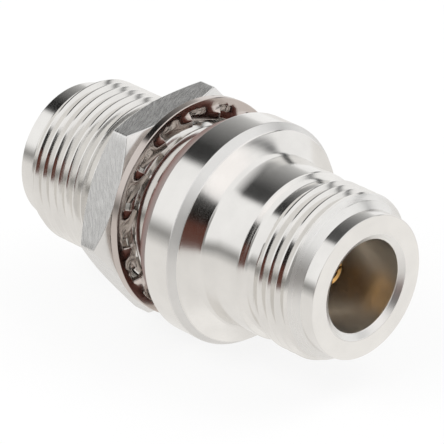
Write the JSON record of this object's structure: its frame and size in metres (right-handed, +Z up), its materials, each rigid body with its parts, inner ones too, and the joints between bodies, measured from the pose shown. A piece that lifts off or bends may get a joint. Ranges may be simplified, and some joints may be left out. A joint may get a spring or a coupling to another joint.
{
  "type": "coaxial adapter",
  "caption": "Plated coaxial bulkhead adapter: threaded jack to threaded jack with a round flange, panel seal, lock washer and hexagon nut.",
  "frame": {"origin": "on the connector axis at the flange's rear face, where the panel's front face comes", "axes": "+X along the connector axis towards the front jack, +Z up"},
  "size_m": [0.038, 0.0218, 0.0212],
  "materials": {
    "nickel_plate": "bright nickel plate over turned brass",
    "nut_nickel": "nickel plate over brass, flats finely brushed",
    "washer_steel": "nickel-plated spring steel",
    "gold_plate": "gold plate over spring brass",
    "white_insulator": "smooth white plastic",
    "seal_rubber": "soft red-brown silicone rubber"
  },
  "bodies": {
    "adapter": {"adapter_body": "nickel_plate", "rear_sleeve": "nickel_plate", "front_insulator": "white_insulator", "rear_insulator": "white_insulator", "front_contact": "gold_plate", "rear_contact": "gold_plate", "panel_seal": "seal_rubber"},
    "washer": {"lock_washer": "washer_steel"},
    "nut": {"hex_nut": "nut_nickel"}
  },
  "joints": [
    {"name": "washer_slide", "type": "slide", "parent": "adapter", "child": "washer", "axis": [1, 0, 0], "range_m": [-0.01138, 0.00133]},
    {"name": "nut_turn", "type": "hinge", "parent": "washer", "child": "nut", "pos_m": [-0.0073, 0, 0], "axis": [1, 0, 0], "range_deg": [-3870, 450]}
  ],
  "couplings": [
    {"joint": "washer_slide", "follows": "nut_turn", "m_per_rad": 0.00016844}
  ]
}
